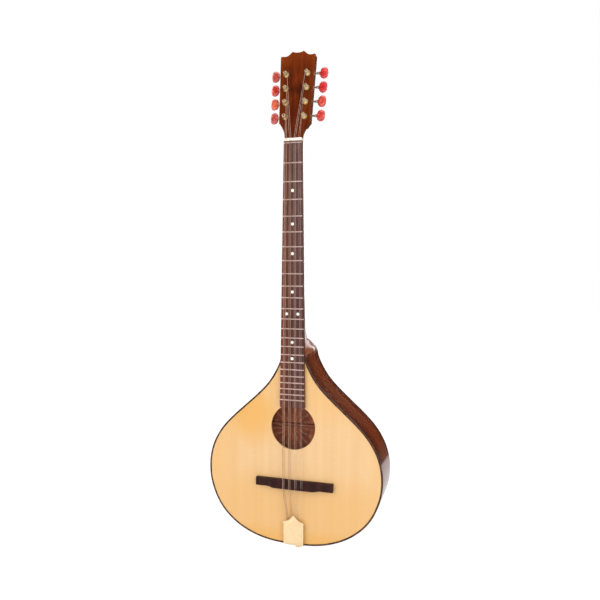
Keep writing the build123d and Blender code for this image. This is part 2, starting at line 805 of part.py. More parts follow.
with BuildPart() as tailpiece_cover:
    with BuildSketch(xz(cover_back, string_offset)):
        add(cover_face.sketch)
    extrude(amount=cover_back - cover_front)
    fillet(cross_edges(tailpiece_cover.edges(), cover_front, cover_low), cover_bend)
    # raised panel with sloping sides
    with BuildSketch(xz(cover_front, string_offset)):
        with BuildLine():
            Polyline(*cover_panel, close=True)
        make_face()
    extrude(amount=0.6, taper=68)
    # hollow, open towards the strings and the soundboard
    with BuildSketch(Plane.YZ.offset(string_offset - cover_half + cover_wall)):
        with BuildLine():
            Polyline(
                (cover_back + 1, cover_low + cover_wall),
                (cover_front + cover_bend, cover_low + cover_wall),
                (cover_inner, cover_low + cover_bend),
                (cover_inner, 48.0), (cover_back + 1, 48.0), close=True,
            )
        make_face()
    extrude(amount=2 * (cover_half - cover_wall), mode=Mode.SUBTRACT)
    with Locations((string_offset, cover_inner + 5, cover_neck_z + 20)):
        Box(60, 10, 40, mode=Mode.SUBTRACT)
save(tailpiece_cover, "tailpiece_cover")

# end pin: turned button with a shank in the tail block; radius, height
pin_top = (0, 36)
pin_shank = [
    pin_top, (3.3, 36), (3.5, 7.8), (8.0, 7.8), (8.0, 6.4), (6.4, 5.5), (4.5, 5.5), (4.5, -5.5),
]
pin_button = [(4.5, -5.5), (6.9, -8.0), (6.6, -11.6), (0, -14.2)]

with BuildPart() as end_pin:
    with BuildSketch(Plane.YZ):
        with BuildLine():
            Polyline(*pin_shank)
            Spline(*pin_button, tangents=[(0.8, -0.6), (-1, 0)], tangent_scalars=(1, 1))
            Line(pin_button[-1], pin_top)
        make_face()
    revolve(axis=Axis.Z)
save(end_pin, "end_pin")

# slotted wood screws: three for the tailpiece, five for each tuner plate
slot_wide = 0.6
tail_screw_head = 1.1  # head heights
plate_screw_head = 0.9

with BuildPart() as wood_screws:
    for x, y in tail_screws:
        with Locations((x, y, strap_low)):
            Cylinder(1.22, 15.3, align=seat_low)
        with Locations(Location((x, y, strap_low), (180, 0, 0))):
            Cylinder(2.5, tail_screw_head, align=seat_low)
        with Locations(Location((x, y, strap_low - tail_screw_head), (0, 0, 35 + 20 * x))):
            Box(6, slot_wide, tail_screw_head, mode=Mode.SUBTRACT)
    for side in (-1, 1):
        for y in plate_screw_y:
            spot = row_spot(side, y, tuner_plate_thick)
            head_spot = spot.offset(-plate_screw_head).location
            with Locations(spot.location):
                Cylinder(0.98, 8.0, align=seat_low)
            with Locations(head_spot):
                Cylinder(1.9, plate_screw_head, align=seat_low)
            with Locations(head_spot * Location((0, 0, 0), (0, 0, 40 + 23 * y))):
                Box(5, slot_wide, plate_screw_head, mode=Mode.SUBTRACT)
save(wood_screws, "wood_screws")

# ============================ tuners ============================

ear_in, ear_out = 5.0, 6.6  # faces of the bearing ears, from the row of posts
ear_reach = shaft_depth - head_back  # worm axis behind the back of the headstock
ear_foot = ear_reach + 0.6  # far end of the ear's straight part

with BuildPart() as tuner_plates:
    for side in (-1, 1):
        frame = row_frame(side)
        low = min(side * y for y in plate_screw_y)
        high = max(side * y for y in plate_screw_y)
        with BuildSketch(frame):
            with Locations((0.4, (low + high) / 2)):
                RectangleRounded(16.4, high - low + 8.0, 3.0)
            for y in row_y:
                with Locations((0, side * y)):
                    Circle(post_r + bearing_gap, mode=Mode.SUBTRACT)
            for y in plate_screw_y:
                with Locations((0, side * y)):
                    Circle(1.0, mode=Mode.SUBTRACT)
        extrude(amount=-tuner_plate_thick)
        # ears that carry the worm shafts
        for ear_x in (-ear_out, ear_in):
            ear_origin = frame.from_local_coords((ear_x, 0, 0))
            with BuildSketch(Plane(origin=ear_origin, x_dir=frame.y_dir, z_dir=frame.x_dir)):
                for y in row_y:
                    ear_y = side * (y + centre_distance)
                    with Locations((ear_y, -(tuner_plate_thick + ear_foot) / 2)):
                        Rectangle(6.4, ear_foot - tuner_plate_thick)
                    with Locations((ear_y, -ear_reach)):
                        Circle(3.2)
                    with Locations((ear_y, -ear_reach)):
                        Circle(shaft_r + bearing_gap, mode=Mode.SUBTRACT)
            extrude(amount=ear_out - ear_in)
save(tuner_plates, "tuner_plates")

# bushings: a flange on the headplate and a sleeve in the hole
with BuildPart() as tuner_bushings:
    for name, side, rise in tuners:
        for radius, amount in ((5.5, 1.2), (4.25, -6.0)):
            with BuildSketch(tuner_frame(side, rise)):
                Circle(radius)
                Circle(post_r + bearing_gap, mode=Mode.SUBTRACT)
            extrude(amount=amount)
save(tuner_bushings, "tuner_bushings")

spigot_r = 2.0  # lower end of the post, inside the gear
# Radius, height above the face of the head.
post_profile = [
    (0, 11.0), (2.4, 11.0), (post_r, 10.4), (post_r, 9.6), (waist_r, 9.0), (waist_r, 5.4),
    (post_r, 4.8), (post_r, -gear_near), (spigot_r, -gear_near), (spigot_r, -gear_far),
    (0, -gear_far),
]

gear_hub = 4.2
gear_screw_head = 1.3
tooth_root_r = gear_hub - 0.4  # teeth start inside the hub
tooth_half = 0.425  # half thickness of tooth and thread at the pitch line
tooth_tip = 0.6  # height of tooth and thread beyond the pitch line
flank_slope = 0.364  # tangent of 20 degrees

# Radius, distance outwards along the shaft from the thread's middle.
worm_profile = [
    (0, -8.4), (2.3, -8.4), (2.3, -6.9), (shaft_r, -6.9), (shaft_r, 6.9), (2.5, 6.9), (2.5, 8.2),
    (shaft_r, 8.8), (shaft_r, 12.4), (2.6, 13.0), (2.6, 14.3), (shaft_r, 14.9), (shaft_r, 15.8),
    (3.1, 16.4), (3.1, 18.3), (shaft_r, 18.3), (shaft_r, 27.1), (0, 27.1),
]
thread_root_r = shaft_r - 0.1
thread_curve = Helix(pitch=worm_pitch, height=3 * worm_pitch, radius=thread_root_r)

button_out = 26.8  # centre of the button along its shaft
button_thick = 7.0


def tooth_points(root, pitch_line):
    """Corners of a tooth that rises along x from its root past the pitch line."""
    tip = pitch_line + tooth_tip
    root_half = tooth_half + (pitch_line - root) * flank_slope
    tip_half = tooth_half - tooth_tip * flank_slope
    return [(root, -root_half), (tip, -tip_half), (tip, tip_half), (root, root_half)]


def make_post(name, frame):
    """String post, turned, with a waist, a cross hole and a stepped lower end."""
    with BuildPart() as post:
        with BuildSketch(Plane(origin=frame.origin, x_dir=frame.x_dir, z_dir=-frame.y_dir)):
            with BuildLine():
                Polyline(*post_profile, close=True)
            make_face()
        revolve(axis=Axis(frame.origin, frame.z_dir))
        hole = frame.from_local_coords((0, 0, post_hole_high))
        with Locations(Plane(origin=hole, x_dir=frame.z_dir, z_dir=frame.y_dir).location):
            Cylinder(0.8, 10, mode=Mode.SUBTRACT)
        with Locations(frame.offset(-gear_far).location):
            Cylinder(1.02, 12, mode=Mode.SUBTRACT)
    save(post, f"{name}_post")


def make_gear(name, side, frame):
    """Worm wheel with its slotted fixing screw."""
    with BuildPart() as gear:
        with BuildSketch(frame.offset(-gear_far)):
            Circle(gear_hub + 0.03)
            with PolarLocations(0, teeth, start_angle=side * 90 + 180 / teeth):
                with BuildLine():
                    Polyline(*tooth_points(tooth_root_r, gear_pitch_r), close=True)
                make_face()
            Circle(spigot_r + 0.01, mode=Mode.SUBTRACT)
        extrude(amount=gear_thick)
        with Locations(frame.offset(-gear_far).location):
            Cylinder(1.0, 5.0, align=seat_low)
        with Locations(frame.offset(-gear_far - gear_screw_head).location):
            Cylinder(3.0, gear_screw_head, align=seat_low)
            Box(8, 0.8, gear_screw_head, mode=Mode.SUBTRACT)
    save(gear, f"{name}_gear")


def make_worm(name, side, shaft):
    """Worm shaft: journals, thread, collars, and a stub for the button."""
    base = shaft.offset((-1.25 if side > 0 else -1.75) * worm_pitch)
    thread_path = base.location * thread_curve
    thread_start = thread_path @ 0
    radial = (thread_start - base.origin).normalized()
    with BuildPart() as worm:
        with BuildSketch(Plane(origin=shaft.origin, x_dir=shaft.x_dir, z_dir=-shaft.y_dir)):
            with BuildLine():
                Polyline(*worm_profile, close=True)
            make_face()
        revolve(axis=Axis(shaft.origin, shaft.z_dir))
        with BuildSketch(Plane(origin=thread_start, x_dir=radial, z_dir=thread_path % 0)):
            with BuildLine():
                Polyline(*tooth_points(0, worm_pitch_r - thread_root_r), close=True)
            make_face()
        sweep(path=thread_path, is_frenet=True)
    save(worm, f"{name}_worm")


def make_button(name, shaft):
    """Oval button, bored for the shaft."""
    middle = shaft.from_local_coords((-button_thick / 2, 0, button_out))
    with BuildPart() as button:
        with BuildSketch(Plane(origin=middle, x_dir=shaft.z_dir, z_dir=shaft.x_dir)):
            Ellipse(8.4, 11.3)
        extrude(amount=button_thick)
        fillet(button.edges(), 3.0)
        with Locations(shaft.offset(button_out - 4.0).location):
            Cylinder(shaft_r + 0.01, 9.0, mode=Mode.SUBTRACT)
    save(button, f"{name}_button")


for name, side, rise in tuners:
    post_frame = tuner_frame(side, rise)
    worm_frame = shaft_frame(side, rise)
    make_post(name, post_frame)
    make_gear(name, side, post_frame)
    make_worm(name, side, worm_frame)
    make_button(name, worm_frame)
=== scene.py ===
"""Looks and studio for an eight-string fretted instrument with a flat top.

It stands upright in its CAD frame, in metres: z runs from the tail up to the headstock, the
soundboard faces -y, the bass side is at -x and the treble side at +x.
"""

import json
import math
from functools import cached_property

import bmesh
import bpy
from mathutils import Matrix, Vector


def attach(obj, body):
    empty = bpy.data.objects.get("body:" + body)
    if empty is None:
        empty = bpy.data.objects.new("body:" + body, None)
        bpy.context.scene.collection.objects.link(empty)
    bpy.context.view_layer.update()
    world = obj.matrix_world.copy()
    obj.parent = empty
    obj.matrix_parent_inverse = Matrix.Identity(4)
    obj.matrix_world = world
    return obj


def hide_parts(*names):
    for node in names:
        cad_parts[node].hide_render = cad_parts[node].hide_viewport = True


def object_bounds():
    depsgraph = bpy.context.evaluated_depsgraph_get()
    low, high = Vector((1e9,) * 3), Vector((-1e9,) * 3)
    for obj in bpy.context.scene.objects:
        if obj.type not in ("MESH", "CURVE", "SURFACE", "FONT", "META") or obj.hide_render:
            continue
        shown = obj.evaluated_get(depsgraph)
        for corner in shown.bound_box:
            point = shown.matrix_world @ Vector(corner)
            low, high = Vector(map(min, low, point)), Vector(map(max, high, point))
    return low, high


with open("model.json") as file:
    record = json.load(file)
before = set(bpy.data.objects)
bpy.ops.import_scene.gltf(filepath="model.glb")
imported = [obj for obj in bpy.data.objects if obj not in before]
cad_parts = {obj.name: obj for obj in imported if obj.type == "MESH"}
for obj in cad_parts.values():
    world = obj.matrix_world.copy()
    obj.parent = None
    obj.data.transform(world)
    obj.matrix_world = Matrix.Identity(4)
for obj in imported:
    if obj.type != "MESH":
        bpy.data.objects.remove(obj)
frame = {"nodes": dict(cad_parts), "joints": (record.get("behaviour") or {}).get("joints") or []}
nodes = frame["nodes"]
cad_lo, cad_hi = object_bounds()
joints = {joint["name"]: joint for joint in frame["joints"]}
scene = bpy.context.scene
materials = {}

MM = 0.001
WHITE = (1.0, 1.0, 1.0)

# ------------------------------------------------------------------ shader graphs


def operation(name):
    """A method that adds a Math node with the wire as its first input."""
    return lambda self, *others: self.graph.math(name, self, *others)


class Wire:
    """An output socket; arithmetic on it adds Math nodes."""

    __add__ = operation("ADD")
    __sub__ = operation("SUBTRACT")
    __mul__ = operation("MULTIPLY")
    __truediv__ = operation("DIVIDE")
    __pow__ = operation("POWER")
    __abs__ = operation("ABSOLUTE")
    sine = operation("SINE")
    root = operation("SQRT")
    max = operation("MAXIMUM")
    min = operation("MINIMUM")

    def __init__(self, graph, socket):
        self.graph = graph
        self.socket = socket

    def __radd__(self, other):
        return self.graph.math("ADD", other, self)

    def __rsub__(self, other):
        return self.graph.math("SUBTRACT", other, self)

    def span(self, over, to=(0.0, 1.0), kind="LINEAR"):
        """Map the range `over` onto the range `to`, held at both ends."""
        inputs = dict(enumerate((self, *over, *to)))
        return self.graph.node("MapRange", inputs, interpolation_type=kind)

    def ease(self, over, to=(0.0, 1.0)):
        """Like span, with soft ends."""
        return self.span(over, to, kind="SMOOTHSTEP")

    def sway(self, noise, width):
        """Shift by a noise centred on 0.5; width is the full reach of the shift."""
        return self + (noise - 0.5) * width

    def toward(self, color, by):
        return self.graph.mix(self, color, by)


class Graph:
    """The node tree of a material or world, emptied and ready to build."""

    def __init__(self, owner):
        owner.use_nodes = True
        self.tree = owner.node_tree
        self.tree.nodes.clear()

    def node(self, kind, inputs=None, output=0, **settings):
        """Add a node; return one output as a Wire, or a list for a tuple of outputs."""
        made = self.tree.nodes.new("ShaderNode" + kind)
        for name, value in settings.items():
            setattr(made, name, value)
        for key, value in (inputs or {}).items():
            socket = made.inputs[key]
            if isinstance(value, Wire):
                self.tree.links.new(value.socket, socket)
            elif isinstance(value, tuple) and len(value) == 3 and socket.type == "RGBA":
                socket.default_value = (*value, 1.0)
            else:
                socket.default_value = value
        if isinstance(output, tuple):
            return [Wire(self, made.outputs[key]) for key in output]
        return Wire(self, made.outputs[output]) if made.outputs else None

    @cached_property
    def point(self):
        """Object-space position: the CAD frame in metres."""
        return self.node("TexCoord", output="Object")

    @cached_property
    def xyz(self):
        return self.split(self.point)

    def split(self, vector):
        return self.node("SeparateXYZ", {0: vector}, output=(0, 1, 2))

    def math(self, name, *values, clamp=False):
        return self.node("Math", dict(enumerate(values)), operation=name, use_clamp=clamp)

    def mix(self, start, end, by):
        inputs = {0: by, 6: start, 7: end}
        return self.node("Mix", inputs, output=2, data_type="RGBA", clamp_factor=True)

    def vector_math(self, name, inputs, output=0):
        return self.node("VectorMath", inputs, output, operation=name)

    def ramp(self, value, stops):
        """Colour ramp through (position, colour) stops."""
        wire = self.node("ValToRGB", {0: value})
        elements = wire.socket.node.color_ramp.elements
        while len(elements) < len(stops):
            elements.new(0.5)
        for element, (position, color) in zip(elements, stops):
            element.position = position
            element.color = (*color, 1.0)
        return wire

    def noise(self, vector, scale, detail=2.0, roughness=0.5, distortion=0.0, output=0):
        inputs = {"Vector": vector, "Scale": scale, "Detail": detail,
                  "Roughness": roughness, "Distortion": distortion}
        return self.node("TexNoise", inputs, output)

    def grain(self, x, y, z, **noise):
        """Stretched noise; each axis is already multiplied by its cycles per metre."""
        return self.noise(self.node("CombineXYZ", {0: x, 1: y, 2: z}), scale=1.0, **noise)

    def edge_wear(self, radius=0.0012):
        """1 on sharp outside edges, 0 on flats."""
        rounded = self.node("Bevel", {"Radius": radius}, samples=4)
        normal = self.node("NewGeometry", output="Normal")
        match = self.vector_math("DOT_PRODUCT", {0: rounded, 1: normal}, output="Value")
        return match.span(over=(0.995, 0.86))

    def facing(self, blend):
        return self.node("LayerWeight", {"Blend": blend}, output="Facing")

    def surface(self, color, roughness, height, bump, bump_distance, metallic=0.0,
                coat=0.0, coat_roughness=0.08, ior=1.5, extra=None):
        """End the material in a Principled shader with a bump."""
        normal = self.node(
            "Bump", {"Strength": bump, "Distance": bump_distance, "Height": height})
        shader = self.node("BsdfPrincipled", {
            "Base Color": color, "Roughness": roughness, "Metallic": metallic, "IOR": ior,
            "Coat Weight": coat, "Coat Roughness": coat_roughness, "Normal": normal,
            **(extra or {})})
        self.node("OutputMaterial", {0: shader})


def new_material(name):
    materials[name] = bpy.data.materials.new(name)
    return Graph(materials[name])


def distance(first, second):
    return (first * first + second * second).root()


def scaled(color, factor):
    return tuple(channel * factor for channel in color)


# ------------------------------------------------------------------ woods


def spruce_top():
    mat = new_material("spruce_top")
    x, _, z = mat.xyz
    from_joint = abs(x)
    wander = mat.grain(from_joint * 9.0, 0.0, z * 2.6, detail=3.0)
    across = from_joint.sway(wander, width=0.006)
    # growth rings get wider away from the centre joint
    rings = across.max(0.0001) ** 0.86
    rings_per_unit = 480.0
    fine = (rings * (2 * math.pi * rings_per_unit)).sine().span(over=(-1.0, 1.0)) ** 2.6
    wide = mat.grain(across * 62.0, 1.3, z * 0.9, detail=3.0, roughness=0.6)
    medium = mat.grain(across * 250.0, 5.3, z * 2.0, roughness=0.6)
    cloud = mat.grain(x * 7.0, 2.0, z * 4.0)
    silk = mat.grain(from_joint * 70.0, 3.0, z * 240.0).span(over=(0.56, 0.72))
    base = mat.ramp(wide, [(0.25, (0.572, 0.361, 0.162)), (0.5, (0.606, 0.401, 0.200)),
                           (0.78, (0.628, 0.433, 0.233))])
    base = base.toward((0.553, 0.315, 0.126), by=medium.span(over=(0.35, 0.75), to=(0.0, 0.32)))
    base = base.toward((0.51, 0.246, 0.088), by=fine * 0.26)
    base = base.toward((0.72, 0.54, 0.33), by=silk * 0.12)

    # warmer and darker towards the upper bass side, the tail and the rim
    height_z = z.sway(cloud, width=0.03)

    def away(from_x, from_z):
        return distance(x - from_x, height_z - from_z)

    tail = (height_z.ease(over=(0.175, 0.10), to=(0.0, 0.5))
            + height_z.ease(over=(0.045, 0.010), to=(0.0, 0.5)))
    rim = away(from_x=0.02, from_z=0.17).ease(over=(0.10, 0.175), to=(0.0, 0.45))
    shoulder = away(from_x=-0.085, from_z=0.262).ease(over=(0.085, 0.015))
    upper = height_z.ease(over=(0.22, 0.30), to=(0.0, 0.45))
    warm = mat.math("MAXIMUM", tail.max(rim), shoulder.max(upper), clamp=True)
    base = base.toward((0.578, 0.306, 0.074), by=warm)
    mat.surface(base, roughness=wide.span(over=(0.2, 0.8), to=(0.36, 0.46)),
                height=(1.0 - fine) * 0.6 + medium * 0.4, bump=0.10, bump_distance=0.0002,
                coat=0.35, coat_roughness=0.16)


def red_wood(name, dark, medium, light, worn, ior, coat=1.0, coat_roughness=0.10,
             through_depth=False, glow=None, burst=None):
    """Lacquered hardwood with grain along z.

    through_depth stacks the grain lines through y, as on the sides. glow is a painted highlight:
    a spot, its radius, colour and amount. burst is a function that adds shaded staining.
    """
    mat = new_material(name)
    x, y, z = mat.xyz
    if through_depth:
        across, beside = y, x * 0.06
    else:
        across, beside = x * 1.0, y * 1.0
    drift = mat.grain(across * 14.0, beside * 14.0, z * 3.2, detail=3.0)
    across = across.sway(drift, width=0.016)
    band = mat.grain(across * 95.0, beside * 60.0, z * 2.4, detail=4.0, roughness=0.62)
    line = mat.grain(across * 420.0, beside * 300.0, z * 6.0, roughness=0.6)
    pores = mat.grain(across * 1500.0, beside * 1500.0, z * 90.0, roughness=0.6)
    pores = pores.span(over=(0.58, 0.70))
    cloud = mat.noise(mat.point, scale=9.0)
    base = mat.ramp(band, [(0.22, dark), (0.48, medium), (0.76, light)])
    base = base.toward(dark, by=line.span(over=(0.45, 0.7), to=(0.0, 0.55)))
    base = base.toward(medium, by=cloud.span(over=(0.35, 0.7), to=(0.0, 0.35)))
    base = base.toward(scaled(dark, 0.25), by=pores * 0.25)
    # a pale spot painted on as a highlight
    if glow:
        spot, radius, color, amount = glow
        away = mat.vector_math("DISTANCE", {0: mat.point, 1: spot}, output="Value")
        base = base.toward(color, by=away.ease(over=(radius, 0.0), to=(0.0, amount)))
    if burst:
        base = burst(mat, base, cloud)
    if worn:
        pale = tuple(min(1, channel * 1.9) for channel in light)
        base = base.toward(pale, by=mat.edge_wear() * worn)
    mat.surface(base, roughness=line.span(over=(0.3, 0.8), to=(0.34, 0.5)),
                height=band * 0.5 - pores * 0.8, bump=0.16, bump_distance=0.00025,
                coat=coat, coat_roughness=coat_roughness, ior=ior)


def rib_burst(mat, base, cloud):
    """Stained darker next to the face and the back, clearer in the middle of the depth."""
    depth = mat.xyz[1].sway(cloud, width=0.016)
    front = depth.ease(over=(-0.014, -0.036), to=(0.0, 0.55))
    back = depth.ease(over=(0.030, 0.052), to=(0.0, 0.55))
    middle = depth.ease(over=(-0.026, 0.004)) * depth.ease(over=(0.040, 0.014), to=(0.0, 0.30))
    base = base.toward((0.29, 0.062, 0.011), by=middle)
    return base.toward((0.040, 0.0065, 0.0022), by=mat.math("ADD", front, back, clamp=True))


def head_burst(mat, base, cloud):
    """Veneer stained dark in the middle, glowing orange near the top and the long edges."""
    x, _, z = mat.xyz
    edge = abs(x).sway(cloud, width=0.012).ease(over=(0.018, 0.036), to=(0.0, 0.24))
    top = z.ease(over=(0.900, 0.940), to=(0.0, 0.26))
    base = base.toward((0.27, 0.048, 0.006), by=mat.math("ADD", edge, top, clamp=True))
    # dark oval, wider than it is tall
    away = distance((x - 0.004) * 0.55, z - 0.868)
    return base.toward((0.020, 0.0035, 0.0010), by=away.ease(over=(0.016, 0.003), to=(0.0, 0.55)))


def fingerboard_wood():
    mat = new_material("fingerboard_wood")
    x, y, z = mat.xyz
    drift = mat.grain(x * 20.0, 0.0, z * 3.0, detail=3.0)
    across = x.sway(drift, width=0.010)
    band = mat.grain(across * 150.0, y * 60.0, z * 3.0, detail=4.0, roughness=0.6)
    line = mat.grain(across * 800.0, y * 300.0, z * 9.0)
    pores = mat.grain(across * 2200.0, y * 900.0, z * 120.0).span(over=(0.57, 0.68))
    base = mat.ramp(band, [(0.25, (0.033, 0.0098, 0.0078)), (0.5, (0.078, 0.0225, 0.0165)),
                           (0.75, (0.150, 0.048, 0.032))])
    base = base.toward((0.026, 0.011, 0.009), by=line.span(over=(0.45, 0.72), to=(0.0, 0.5)))
    base = base.toward((0.012, 0.006, 0.005), by=pores * 0.5)
    # polish and paler wear under the fingers of the left hand, in the low positions
    wear = mat.grain(x * 60.0, 0.0, z * 26.0, detail=3.0).span(over=(0.48, 0.70))
    wear = wear * z.ease(over=(0.42, 0.74), to=(0.1, 0.75))
    base = base.toward((0.20, 0.098, 0.072), by=wear * 0.40)
    # redder towards the bass edge
    base = base.toward((0.150, 0.034, 0.018), by=x.ease(over=(-0.002, -0.017), to=(0.0, 0.5)))
    # less mirror-like at the bass edge and low on the board
    ior = x.span(over=(-0.014, 0.004), to=(1.30, 1.46)).min(
        z.span(over=(0.42, 0.68), to=(1.34, 1.46)))
    mat.surface(base, roughness=wear.span(over=(0.0, 1.0), to=(0.46, 0.30)),
                height=line * 0.3 - pores, bump=0.30, bump_distance=0.00015,
                coat=0.10, coat_roughness=0.3, ior=ior)


def pale_rays(mat, base):
    """Faint pale rays spreading from one point."""
    x, _, z = mat.xyz
    from_x = x + 0.028
    from_z = z - 0.212
    angle = mat.math("ARCTAN2", from_z, from_x)
    wobble = mat.noise(mat.point, scale=70.0)
    rays = (angle * 17.0 + wobble * 5.0).sine().span(over=(-0.2, 0.9))
    rays = rays * mat.noise(mat.point, scale=170.0).span(over=(0.40, 0.60), to=(0.25, 1.0))
    radius = distance(from_z, from_x)
    rays = rays * radius.span(over=(0.004, 0.012)) * radius.span(over=(0.066, 0.036))
    return base.toward((0.92, 0.52, 0.36), by=rays * 0.34)


def plain_wood(name, dark, light, fibre_color, worn_color, band_scale, fibre_scale, roughness,
               ior=1.5, rays=False):
    """Unlacquered wood; the two scales are cycles per metre along x, y and z."""
    mat = new_material(name)
    band = mat.grain(*(axis * scale for axis, scale in zip(mat.xyz, band_scale)),
                     detail=4.0, roughness=0.6, distortion=0.4)
    fibre = mat.grain(*(axis * scale for axis, scale in zip(mat.xyz, fibre_scale)))
    base = mat.ramp(band, [(0.3, dark), (0.7, light)])
    base = base.toward(fibre_color, by=fibre.span(over=(0.4, 0.75), to=(0.0, 0.35)))
    if rays:
        base = pale_rays(mat, base)
    base = base.toward(worn_color, by=mat.edge_wear(radius=0.0008) * 0.3)
    mat.surface(base, roughness=fibre.span(over=(0.3, 0.7), to=roughness),
                height=band + fibre, bump=0.2, bump_distance=0.0002, ior=ior)


def back_plate_wood():
    """Two matched halves with dark red grain; inside, a burst of rays."""
    mat = new_material("back_wood")
    x, y, z = mat.xyz
    from_joint = abs(x)
    drift = mat.grain(from_joint * 9.0, 0.0, z * 3.0, detail=3.0)
    across = from_joint.sway(drift, width=0.040)
    band = mat.grain(across * 62.0, 2.0, z * 1.5, detail=4.0, roughness=0.62)
    line = mat.grain(across * 330.0, 4.0, z * 4.0)
    pores = mat.grain(across * 1500.0, 0.0, z * 80.0).span(over=(0.58, 0.70))
    dark = (0.040, 0.0085, 0.004)
    base = mat.ramp(band, [(0.22, dark), (0.48, (0.108, 0.022, 0.0085)),
                           (0.76, (0.205, 0.052, 0.017))])
    base = base.toward(dark, by=line.span(over=(0.45, 0.7), to=(0.0, 0.55)))
    base = base.toward((0.01, 0.003, 0.002), by=pores * 0.3)
    seam = 1.0 - from_joint.span(over=(0.0005, 0.0009))
    base = base.toward((0.012, 0.004, 0.002), by=seam)
    # the inner face is bare wood with no lacquer; its colour is painted much paler, as painted
    # light for the dim inside of the body
    inner_face_y = 0.0495
    inside = mat.math("LESS_THAN", y, inner_face_y)
    inner = pale_rays(mat, base.toward((0.60, 0.175, 0.085), by=0.78))
    base = base.toward(inner, by=inside)
    mat.surface(base, roughness=line.span(over=(0.3, 0.8), to=(0.36, 0.5)),
                height=band * 0.5 - pores * 0.8, bump=0.15, bump_distance=0.00025,
                coat=1.0 - inside, coat_roughness=0.08, ior=1.20)


def binding_wood():
    """Dark edging: short patches of near shades, under lacquer."""
    mat = new_material("binding_wood")
    patch = mat.noise(mat.point, scale=150.0)
    fine = mat.noise(mat.point, scale=900.0)
    base = mat.ramp(patch, [(0.40, (0.018, 0.006, 0.003)), (0.52, (0.052, 0.018, 0.008)),
                            (0.66, (0.11, 0.044, 0.018))])
    base = base.toward((0.015, 0.006, 0.004), by=fine.span(over=(0.4, 0.7), to=(0.0, 0.4)))
    base = base.toward((0.24, 0.12, 0.06), by=mat.edge_wear() * 0.35)
    mat.surface(base, roughness=0.38, height=fine, bump=0.08, bump_distance=0.0001,
                coat=0.25, coat_roughness=0.12, ior=1.25)


# ------------------------------------------------------------------ metals, pearl and bone


def metal(name, color, roughness, tarnish, grain=900.0, brushed=False, worn=(1.0, 0.9, 0.72),
          dirt=0.35, bump=0.05):
    """Metal with tarnished patches; brushed draws the fine grain out along z."""
    mat = new_material(name)
    if brushed:
        x, y, z = mat.xyz
        fine = mat.grain(x * 3000.0, y * 3000.0, z * 60.0)
    else:
        fine = mat.noise(mat.point, scale=grain)
    patch = mat.noise(mat.point, scale=110.0, detail=3.0, roughness=0.6)
    base = mat.mix(color, tarnish, by=patch.span(over=(0.45, 0.75), to=(0.0, dirt)))
    base = base.toward(worn, by=mat.edge_wear(radius=0.0004) * 0.5)
    uneven = (fine.span(over=(0.3, 0.7), to=(-0.05, 0.07))
              + patch.span(over=(0.35, 0.75), to=(roughness, roughness + 0.14)))
    mat.surface(base, roughness=uneven, metallic=1.0, height=fine, bump=bump,
                bump_distance=0.00005)


def wound_wire():
    mat = new_material("bronze_wire")
    wrap_pitch = 0.00032
    wrap = (mat.xyz[2] * (2 * math.pi / wrap_pitch)).sine().span(over=(-1.0, 1.0))
    patch = mat.noise(mat.point, scale=60.0)
    base = mat.mix((0.40, 0.235, 0.160), (0.70, 0.48, 0.36), by=wrap)
    base = base.toward((0.40, 0.25, 0.18), by=patch.span(over=(0.45, 0.75), to=(0.0, 0.4)))
    mat.surface(base, roughness=0.34, metallic=1.0, height=wrap, bump=0.5,
                bump_distance=0.0001)


def pearl():
    mat = new_material("pearl")
    swirl = mat.noise(mat.point, scale=420.0, detail=3.0, roughness=0.6, distortion=1.4)
    base = mat.ramp(swirl, [(0.3, (0.78, 0.66, 0.58)), (0.5, (0.92, 0.84, 0.76)),
                            (0.68, (0.72, 0.78, 0.74))])
    base = base.toward((0.80, 0.62, 0.70), by=mat.facing(blend=0.35) * 0.3)
    mat.surface(base, roughness=0.18, height=swirl, bump=0.05, bump_distance=0.0001,
                coat=0.6, coat_roughness=0.06)


def pearloid(name, tint, seed):
    """Marbled celluloid of the tuner buttons; the seed moves the marbling."""
    red, green, blue = tint
    deep = (red * 0.74, green * 0.42, blue * 0.5)
    pale = (min(0.84, red * 1.4), green * 2.4 + 0.05, blue * 2.4 + 0.035)
    mat = new_material(name)
    offset = (seed * 0.37, seed * 0.11, seed * 0.23)
    moved = mat.vector_math("ADD", {0: mat.point, 1: offset})
    warp = mat.noise(moved, scale=150.0, output="Color")
    warp = mat.vector_math("SCALE", {0: warp, "Scale": 0.010})
    warped = mat.vector_math("ADD", {0: moved, 1: warp})
    cell = mat.node("TexVoronoi", {"Vector": warped, "Scale": 190.0}, output="Distance",
                    feature="SMOOTH_F1")
    swirl = mat.noise(warped, scale=260.0, detail=3.0, roughness=0.55, distortion=1.0)
    base = mat.ramp(cell.span(over=(0.08, 0.62)), [(0.0, pale), (0.34, tint), (0.8, deep)])
    base = base.toward(pale, by=swirl.span(over=(0.42, 0.66), to=(0.0, 0.42)))
    grazing = mat.facing(blend=0.4).span(over=(0.25, 0.95), to=(0.0, 0.35))
    base = base.toward((0.62, 0.20, 0.16), by=grazing)
    mat.surface(base, roughness=0.16, height=swirl, bump=0.03, bump_distance=0.0001,
                coat=1.0, coat_roughness=0.05,
                extra={"Subsurface Weight": 0.25, "Subsurface Radius": (0.004, 0.0012, 0.001),
                       "Subsurface Scale": 0.6})


def bone():
    mat = new_material("bone")
    x, y, z = mat.xyz
    fibre = mat.grain(x * 60.0, y * 700.0, z * 700.0, detail=3.0)
    base = mat.ramp(fibre, [(0.35, (0.86, 0.70, 0.58)), (0.6, (0.95, 0.86, 0.76))])
    base = base.toward((0.97, 0.90, 0.80), by=mat.edge_wear(radius=0.0006) * 0.5)
    mat.surface(base, roughness=0.32, height=fibre, bump=0.08, bump_distance=0.0001,
                coat=0.3, coat_roughness=0.15,
                extra={"Subsurface Weight": 0.2, "Subsurface Radius": (0.002, 0.0015, 0.001),
                       "Subsurface Scale": 0.5})


# ------------------------------------------------------------------ the set of materials

